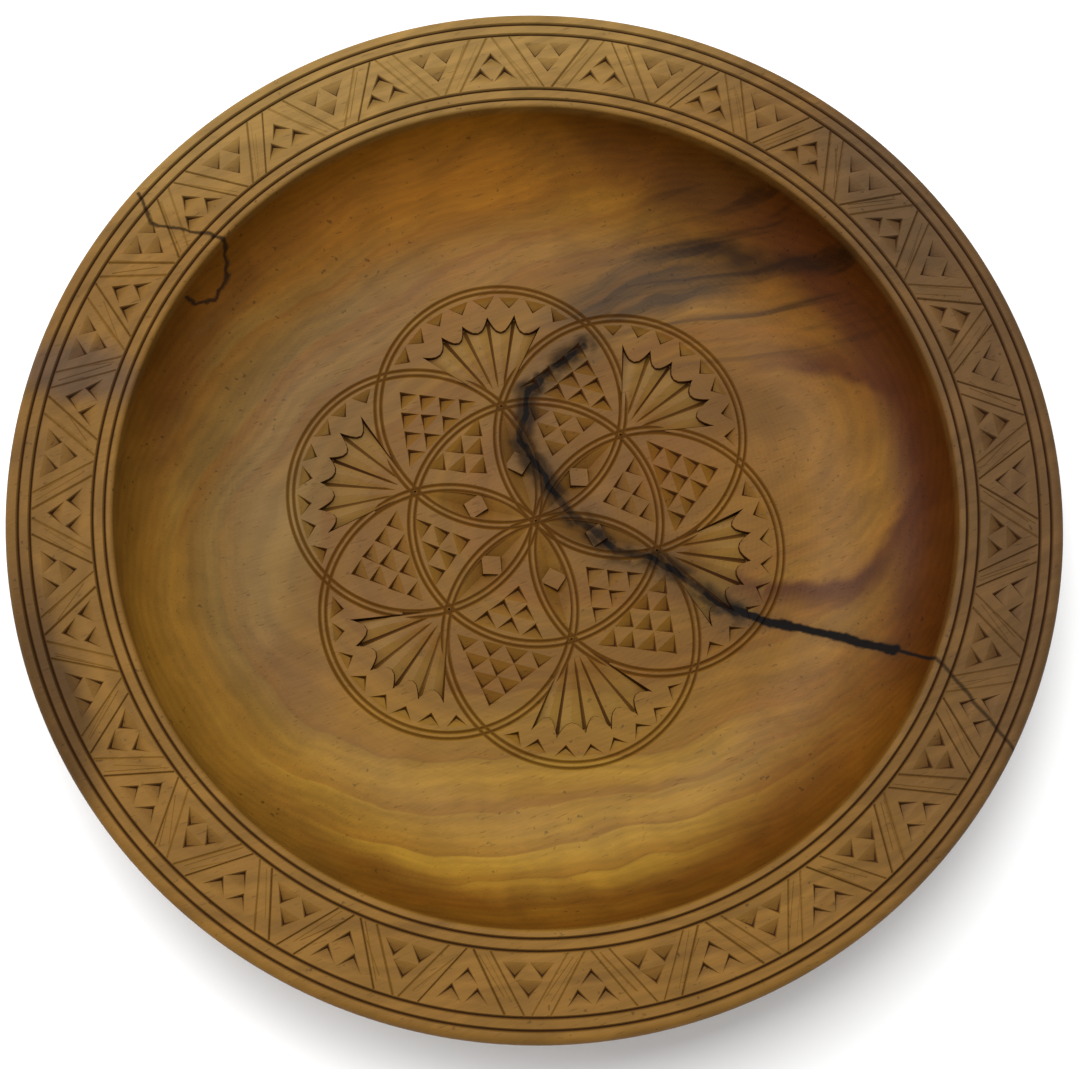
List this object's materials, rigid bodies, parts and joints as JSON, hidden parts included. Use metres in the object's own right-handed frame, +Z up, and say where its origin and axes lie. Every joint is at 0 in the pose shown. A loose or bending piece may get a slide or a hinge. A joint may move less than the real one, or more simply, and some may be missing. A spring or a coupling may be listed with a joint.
{
  "type": "carved wooden bowl",
  "caption": "Shallow round wooden bowl with a wide flat rim, a curved wall, a turned foot, and chip-carved rim and rosette.",
  "frame": {"origin": "middle of the foot, on the surface that the bowl stands on", "axes": "+Z up along the turning axis, out of the bowl's mouth; +X and +Y along the rim's plane, with +Y away from the viewer who looks down into the bowl"},
  "size_m": [0.3, 0.3, 0.0425],
  "materials": {
    "carved_wood": "waxed, satin inside and drier on the rim"
  },
  "bodies": {
    "root": {"bowl": "carved_wood"}
  },
  "joints": []
}
